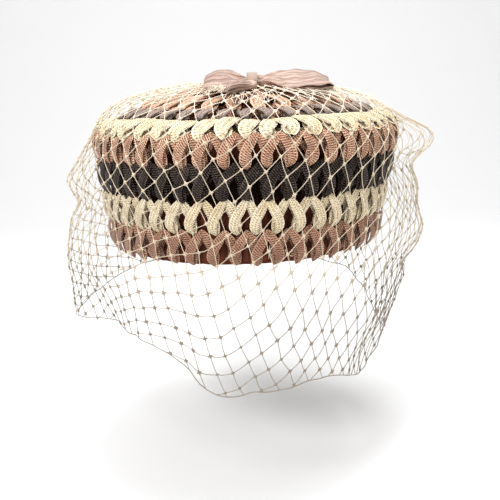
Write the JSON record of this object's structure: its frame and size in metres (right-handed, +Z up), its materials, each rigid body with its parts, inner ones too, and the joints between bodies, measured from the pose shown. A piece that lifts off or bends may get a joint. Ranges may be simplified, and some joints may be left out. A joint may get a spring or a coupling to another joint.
{
  "type": "pillbox hat",
  "caption": "Round pillbox hat of zigzag ribbon braid rows in tan, ivory and dark brown, with a flat satin bow and a net face veil.",
  "frame": {"origin": "middle of the rim plane, where the head sits in the hat", "axes": "+Z up through the crown, -Y to the front of the hat, +X to the wearer's left, which is the right side seen from the front"},
  "size_m": [0.248, 0.2204, 0.1973],
  "materials": {
    "tan_braid": "ribbed woven ribbon",
    "ivory_braid": "ribbed woven ribbon",
    "brown_braid": "ribbed woven ribbon",
    "cap_cloth": "stiffened cloth",
    "rose_satin": "satin ribbon",
    "veil_net": "knotted net thread"
  },
  "bodies": {
    "root": {"foundation_cap": "cap_cloth", "side_row_tan_low": "tan_braid", "side_row_ivory": "ivory_braid", "side_row_brown": "brown_braid", "side_row_tan_high": "tan_braid", "shoulder_row_ivory": "ivory_braid", "crown_ring_brown": "brown_braid", "crown_ring_tan": "tan_braid", "crown_inner_tan": "tan_braid", "crown_centre": "tan_braid", "bow_loop_left": "rose_satin", "bow_loop_right": "rose_satin", "bow_tail": "rose_satin", "bow_knot": "rose_satin", "veil": "veil_net"}
  },
  "joints": []
}
